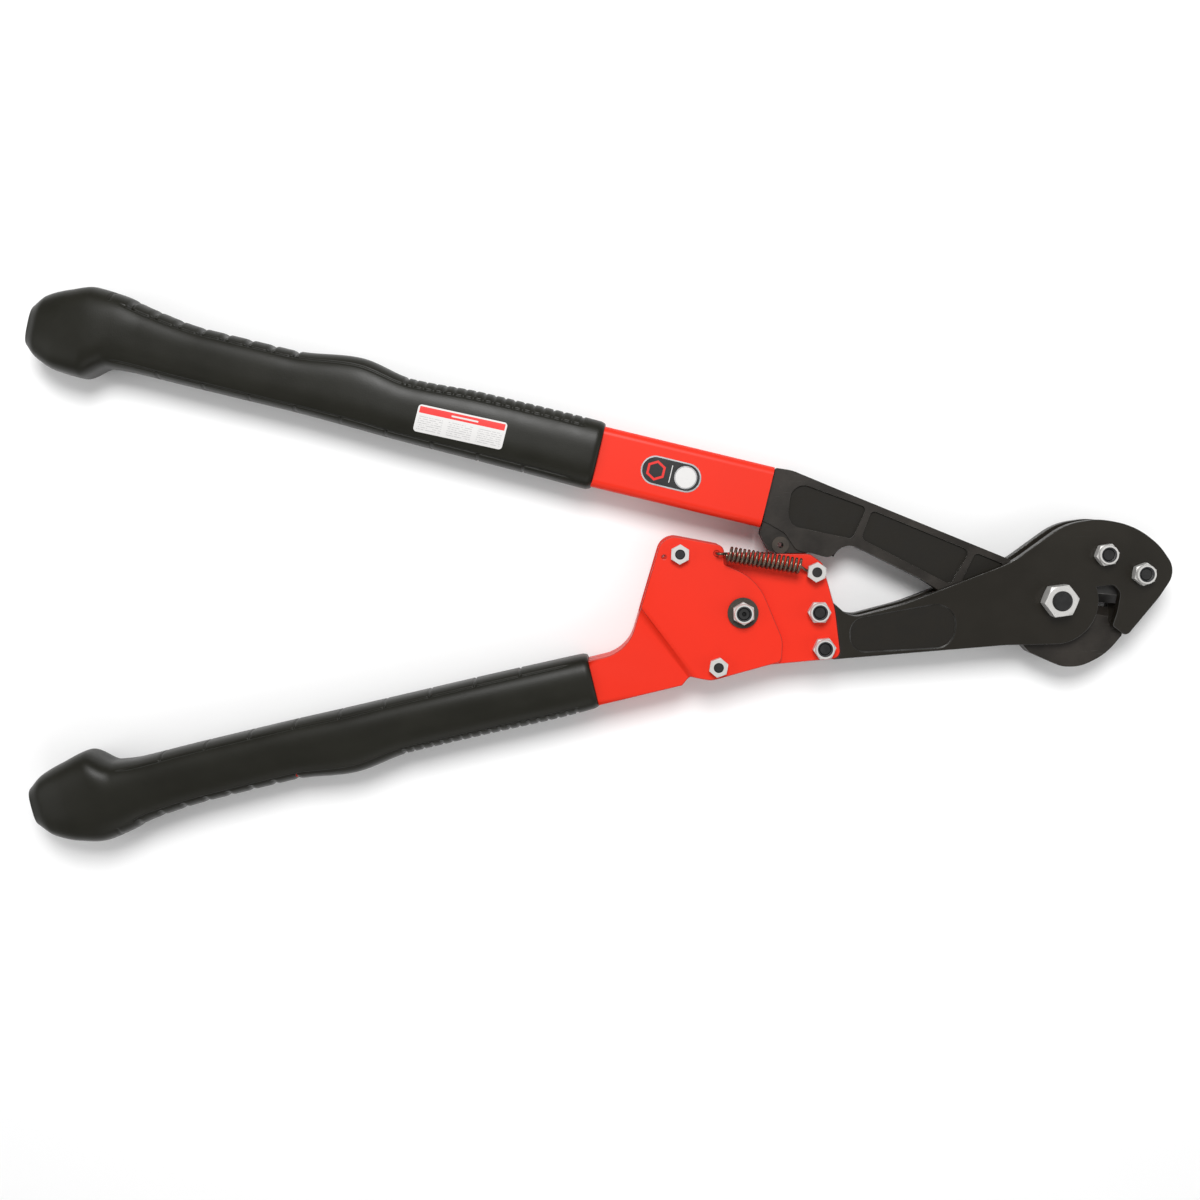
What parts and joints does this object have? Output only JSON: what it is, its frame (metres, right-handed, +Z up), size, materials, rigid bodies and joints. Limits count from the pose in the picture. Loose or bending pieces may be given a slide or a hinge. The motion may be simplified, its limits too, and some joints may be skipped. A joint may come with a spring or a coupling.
{
  "type": "ratcheting bolt cutters",
  "caption": "Ratcheting centre-cut bolt cutters: hooked head with a forged blade arm, a sprung ratchet lever in a side-plate housing, and two long rubber-gripped handles.",
  "frame": {"origin": "on the main pivot's axis, in the plane that the tool rests on when it lies flat: the centre of the underside of the main pivot bolt's head", "axes": "+X from the pivot towards the head's nose, along the tool; +Y towards the upper handle's side; +Z up, out of the front face with the nuts"},
  "size_m": [0.7378, 0.3592, 0.0485],
  "materials": {
    "black_plate": "satin black oxide",
    "jaw_steel": "ground, straw tinted",
    "forged_steel": "worn dark forging",
    "red_paint": "semi-gloss powder coat",
    "grip_rubber": "satin moulded",
    "bright_zinc": "bright zinc plate",
    "dark_steel": "dark oxide",
    "bush_bronze": "machined bronze",
    "ratchet_steel": "case hardened",
    "spring_wire": "oiled spring wire"
  },
  "bodies": {
    "head": {"head_plate_front": "black_plate", "head_plate_rear": "black_plate", "jaw_insert": "jaw_steel", "jaw_bolts": "dark_steel", "jaw_nuts": "bright_zinc", "main_pivot_bolt": "dark_steel", "main_pivot_nut": "bright_zinc", "main_pivot_bushing": "bush_bronze", "housing_plate_front": "red_paint", "housing_plate_rear": "red_paint", "housing_bolts": "dark_steel", "housing_nuts": "bright_zinc", "housing_spacers": "dark_steel", "spring_stud": "dark_steel", "spring_stud_nut": "bright_zinc", "hold_pawl_pin": "dark_steel", "return_spring": "spring_wire"},
    "upper_arm": {"blade_arm": "forged_steel", "upper_tube": "red_paint", "upper_grip": "grip_rubber", "rack_pin": "dark_steel"},
    "rack": {"ratchet_rack": "ratchet_steel"},
    "lever": {"lever_shell_front": "red_paint", "lever_shell_rear": "red_paint", "lower_grip": "grip_rubber", "lever_bolts": "dark_steel", "lever_nuts": "bright_zinc", "lever_spacers": "dark_steel", "lever_pivot_sleeve": "bush_bronze", "lever_pivot_bolt": "dark_steel", "lever_pivot_nut": "bright_zinc", "lever_pivot_washer": "dark_steel", "drive_pawl_pin": "dark_steel"},
    "drive_pawl": {"drive_pawl": "ratchet_steel", "drive_pawl_spring": "spring_wire"},
    "hold_pawl": {"hold_pawl": "ratchet_steel", "hold_pawl_spring": "spring_wire"}
  },
  "joints": [
    {"name": "main_pivot", "type": "hinge", "parent": "head", "child": "upper_arm", "pos_m": [0, 0, 0.021], "axis": [0, 0, -1], "range_deg": [-4, 20]},
    {"name": "rack_swing", "type": "hinge", "parent": "upper_arm", "child": "rack", "pos_m": [-0.1754, 0.0348, 0.021], "axis": [0, 0, 1], "range_deg": [0, 2]},
    {"name": "lever_pivot", "type": "hinge", "parent": "head", "child": "lever", "pos_m": [-0.2001, -0.008, 0.021], "axis": [0, 0, 1], "range_deg": [0, 30], "stiffness_Nm_per_rad": 1.2, "springref_deg": -11.46, "deforming": ["return_spring"]},
    {"name": "drive_pawl_pivot", "type": "hinge", "parent": "lever", "child": "drive_pawl", "pos_m": [-0.19207, -0.01758, 0.021], "axis": [0, 0, 1], "range_deg": [-56, 1]},
    {"name": "hold_pawl_pivot", "type": "hinge", "parent": "head", "child": "hold_pawl", "pos_m": [-0.195, 0.0135, 0.021], "axis": [0, 0, -1], "range_deg": [0, 15], "stiffness_Nm_per_rad": 0.01, "springref_deg": -5.73}
  ],
  "couplings": [
    {"joint": "drive_pawl_pivot", "follows": "lever_pivot", "ratio": -1.85}
  ]
}
